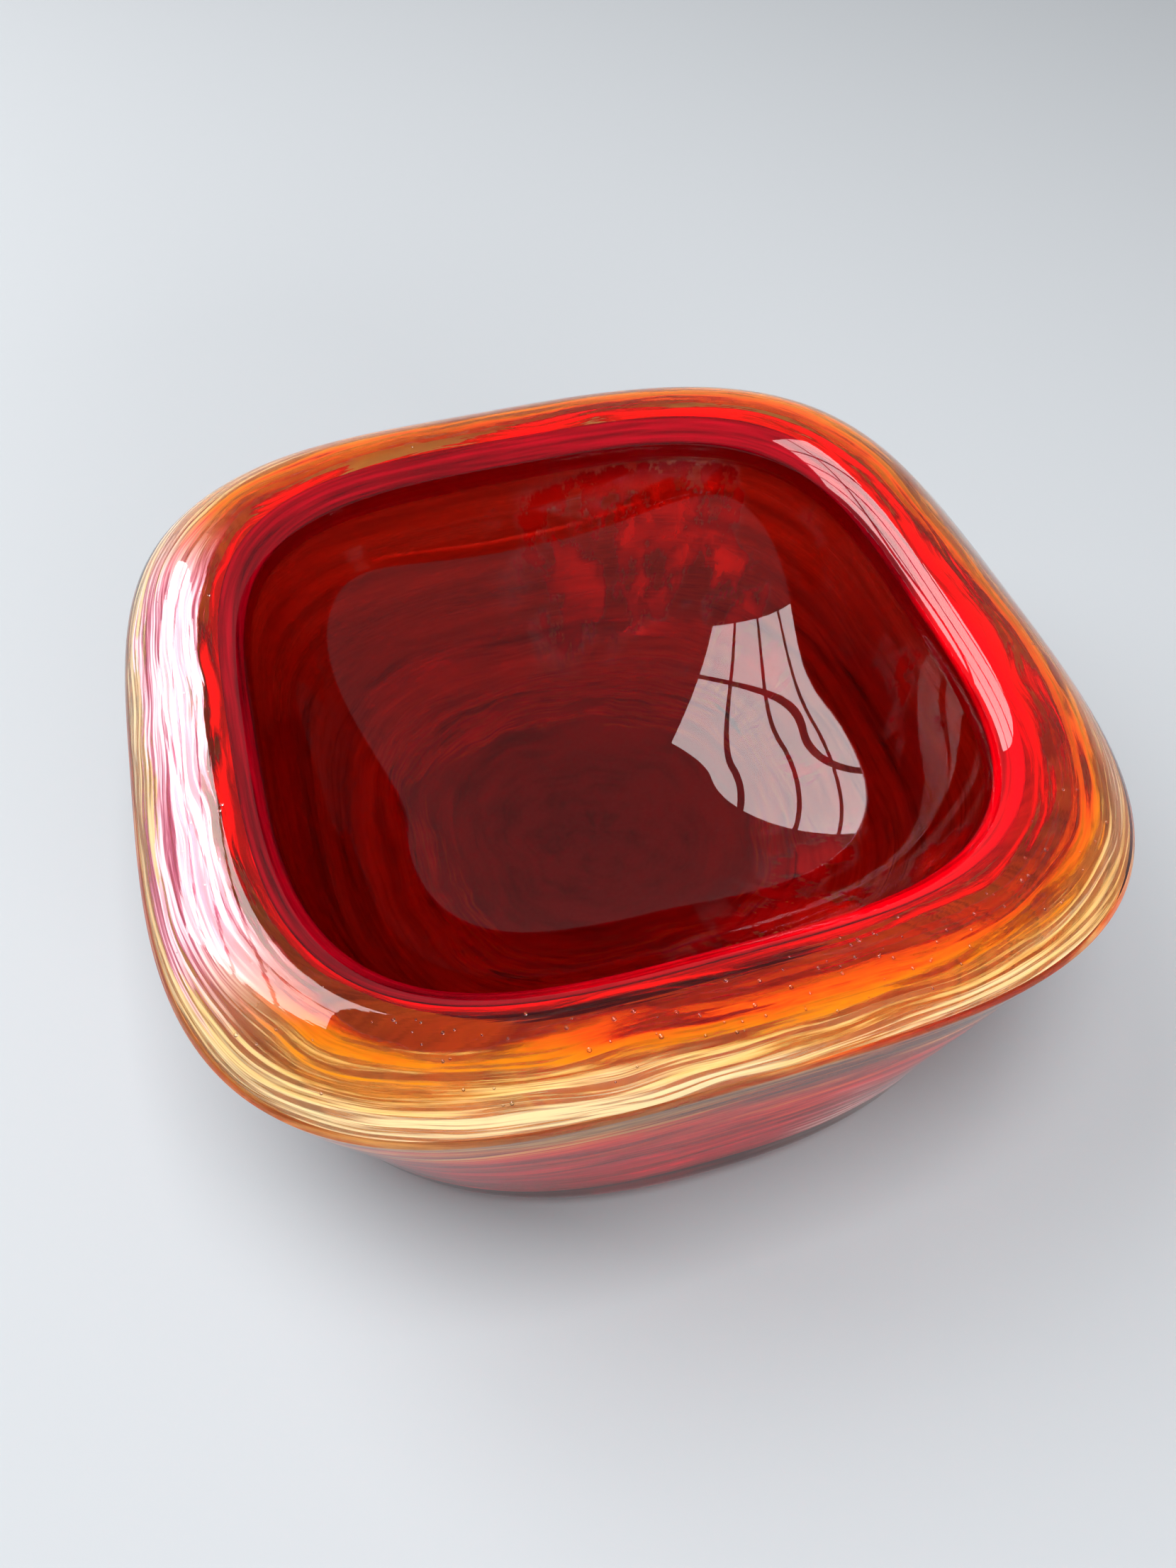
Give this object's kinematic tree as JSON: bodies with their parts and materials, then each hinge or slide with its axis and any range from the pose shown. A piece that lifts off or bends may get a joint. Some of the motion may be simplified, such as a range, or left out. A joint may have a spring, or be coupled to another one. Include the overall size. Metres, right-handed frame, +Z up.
{
  "type": "art glass bowl",
  "caption": "Heavy rounded-square bowl of cased glass: a deep ruby well, a thick amber layer round it and a thin clear outer layer, on a flat ground base.",
  "frame": {"origin": "middle of the outline in plan, on the plane of the flat base", "axes": "+Z up out of the well, +X and +Y square to two of the four sides; the well lies a little towards -Y"},
  "size_m": [0.15, 0.15, 0.058],
  "materials": {
    "ruby_glass": "fire-polished, very glossy, deep ruby red that looks nearly black where it is thick",
    "amber_glass": "fire-polished, glossy, orange to golden amber with streaks and cords along the rim",
    "clear_glass": "fire-polished clear crystal with faint cords and a few trapped bubbles, base ground flat"
  },
  "bodies": {
    "root": {"ruby_core": "ruby_glass", "amber_casing": "amber_glass", "clear_casing": "clear_glass"}
  },
  "joints": []
}
